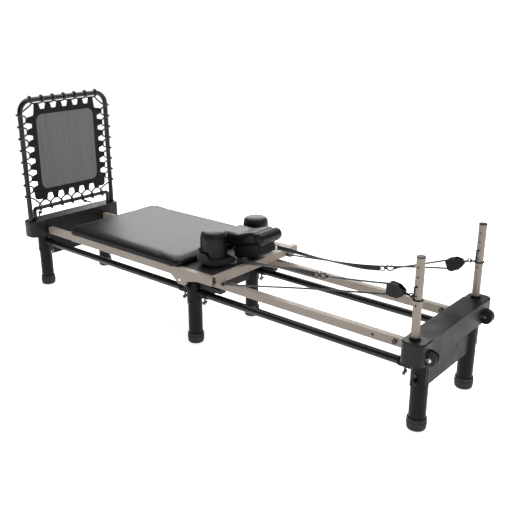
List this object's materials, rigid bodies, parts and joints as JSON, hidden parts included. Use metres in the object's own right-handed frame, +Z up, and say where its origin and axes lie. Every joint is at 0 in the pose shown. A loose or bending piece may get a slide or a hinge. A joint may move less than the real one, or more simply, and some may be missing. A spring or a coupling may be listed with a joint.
{
  "type": "pilates reformer",
  "caption": "Long low exercise bench: a padded carriage slides on two rails between end beams, with a trampoline-style rebounder at one end and rope risers at the other",
  "frame": {"origin": "centre of the bounding box, on the floor that the six feet stand on", "axes": "+X runs from the rebounder end to the rope riser end, +Y is across the machine, +Z is up"},
  "size_m": [2.363, 0.5794, 1.011],
  "materials": {
    "black_paint": "black powder coat",
    "gloss_black_tube": "gloss black paint",
    "cap_plastic": "moulded black plastic",
    "taupe_paint": "satin champagne paint",
    "black_rubber": "ribbed rubber",
    "black_plastic": "moulded black plastic",
    "steel": "zinc plated",
    "black_vinyl": "satin upholstery vinyl",
    "mesh_fabric": "woven mesh",
    "webbing": "woven webbing",
    "rope": "braided cord",
    "roller_plastic": "nylon"
  },
  "bodies": {
    "frame": {"beam_caps_left": "cap_plastic", "beam_caps_right": "cap_plastic", "beam_left": "black_paint", "beam_right": "black_paint", "cross_member_left": "black_paint", "cross_member_mid": "black_paint", "cross_member_right": "black_paint", "feet": "black_rubber", "frame_bolts": "steel", "legs_left": "black_paint", "legs_mid": "black_paint", "legs_right": "black_paint", "rail_far": "taupe_paint", "rail_near": "taupe_paint", "rail_saddles": "black_plastic", "riser_clips": "black_paint", "riser_fittings": "black_plastic", "riser_posts": "taupe_paint", "rope_far": "rope", "rope_near": "rope", "side_tubes_left": "gloss_black_tube", "side_tubes_right": "gloss_black_tube", "stand_brackets": "black_paint", "transport_axles": "steel"},
    "transport_wheel_near": {"transport_wheel_near": "black_rubber"},
    "transport_wheel_far": {"transport_wheel_far": "black_rubber"},
    "knob_mid_near": {"knob_mid_near": "black_plastic"},
    "knob_mid_far": {"knob_mid_far": "black_plastic"},
    "knob_right_near": {"knob_right_near": "black_plastic"},
    "knob_right_far": {"knob_right_far": "black_plastic"},
    "rebounder": {"rebounder_frame": "gloss_black_tube", "rebounder_cross_tube": "gloss_black_tube", "rebounder_mat": "mesh_fabric", "rebounder_hem": "webbing", "rebounder_bungee": "rope"},
    "carriage": {"carriage_side_bars": "taupe_paint", "carriage_front_bar": "taupe_paint", "carriage_rear_bar": "taupe_paint", "carriage_deck": "black_plastic", "front_plate": "taupe_paint", "carriage_brackets": "taupe_paint", "carriage_bolts": "steel", "pad": "black_vinyl", "shoulder_pads": "black_vinyl", "shoulder_posts": "black_plastic", "handle_loops": "webbing", "headrest_bracket": "black_plastic", "roller_axles": "steel", "strap_near": "webbing", "strap_far": "webbing"},
    "headrest": {"headrest_pad": "black_vinyl", "headrest_board": "black_plastic"},
    "rollers_front": {"rollers_front": "roller_plastic"},
    "rollers_rear": {"rollers_rear": "roller_plastic"},
    "pulley_near": {"pulley_block_near": "black_plastic"},
    "pulley_far": {"pulley_block_far": "black_plastic"},
    "sheave_near": {"sheave_near": "roller_plastic"},
    "sheave_far": {"sheave_far": "roller_plastic"},
    "snap_hook_near": {"snap_hook_near": "steel"},
    "snap_hook_far": {"snap_hook_far": "steel"}
  },
  "joints": [
    {"name": "carriage_slide", "type": "slide", "parent": "frame", "child": "carriage", "axis": [1, 0, 0], "range_m": [0, 0.72], "deforming": ["rope_near", "rope_far", "strap_near", "strap_far"]},
    {"name": "rebounder_lift", "type": "slide", "parent": "frame", "child": "rebounder", "axis": [0, 0, 1], "range_m": [0, 0.07]},
    {"name": "headrest_tilt", "type": "hinge", "parent": "carriage", "child": "headrest", "pos_m": [0.11535, 0, 0.42616], "axis": [0, 1, 0], "range_deg": [-10, 16]},
    {"name": "front_rollers_roll", "type": "hinge", "parent": "carriage", "child": "rollers_front", "pos_m": [0.032, 0, 0.3443], "axis": [0, 1, 0], "continuous": true},
    {"name": "rear_rollers_roll", "type": "hinge", "parent": "carriage", "child": "rollers_rear", "pos_m": [-0.64, 0, 0.3443], "axis": [0, 1, 0], "continuous": true},
    {"name": "near_hook_run", "type": "slide", "parent": "carriage", "child": "snap_hook_near", "axis": [1, 0, 0], "range_m": [-0.48, 0]},
    {"name": "far_hook_run", "type": "slide", "parent": "carriage", "child": "snap_hook_far", "axis": [1, 0, 0], "range_m": [-0.58, 0]},
    {"name": "near_pulley_swivel", "type": "hinge", "parent": "frame", "child": "pulley_near", "pos_m": [1.0773, -0.2268, 0.515], "axis": [0, 0, 1], "range_deg": [-8, 8]},
    {"name": "far_pulley_swivel", "type": "hinge", "parent": "frame", "child": "pulley_far", "pos_m": [1.0773, 0.2352, 0.515], "axis": [0, 0, 1], "range_deg": [-8, 8]},
    {"name": "near_sheave_spin", "type": "hinge", "parent": "pulley_near", "child": "sheave_near", "pos_m": [0.997, -0.22, 0.517], "axis": [0.0842, 0.9964, 0], "continuous": true},
    {"name": "far_sheave_spin", "type": "hinge", "parent": "pulley_far", "child": "sheave_far", "pos_m": [1.004, 0.23, 0.487], "axis": [-0.0686, 0.9976, 0], "continuous": true},
    {"name": "near_transport_wheel_spin", "type": "hinge", "parent": "frame", "child": "transport_wheel_near", "pos_m": [1.16, -0.237, 0.308], "axis": [0, 1, 0], "continuous": true},
    {"name": "far_transport_wheel_spin", "type": "hinge", "parent": "frame", "child": "transport_wheel_far", "pos_m": [1.16, 0.237, 0.308], "axis": [0, 1, 0], "continuous": true},
    {"name": "mid_near_knob_turn", "type": "hinge", "parent": "frame", "child": "knob_mid_near", "pos_m": [0, -0.24, 0.278], "axis": [0, 1, 0], "continuous": true},
    {"name": "mid_far_knob_turn", "type": "hinge", "parent": "frame", "child": "knob_mid_far", "pos_m": [0, 0.24, 0.278], "axis": [0, 1, 0], "continuous": true},
    {"name": "right_near_knob_turn", "type": "hinge", "parent": "frame", "child": "knob_right_near", "pos_m": [1.11, -0.24, 0.2], "axis": [0, 1, 0], "continuous": true},
    {"name": "right_far_knob_turn", "type": "hinge", "parent": "frame", "child": "knob_right_far", "pos_m": [1.11, 0.24, 0.2], "axis": [0, 1, 0], "continuous": true}
  ],
  "couplings": [
    {"joint": "front_rollers_roll", "follows": "carriage_slide", "rad_per_m": 54.645},
    {"joint": "rear_rollers_roll", "follows": "carriage_slide", "rad_per_m": 54.645},
    {"joint": "near_hook_run", "follows": "carriage_slide", "ratio": -0.64},
    {"joint": "far_hook_run", "follows": "carriage_slide", "ratio": -0.774}
  ]
}
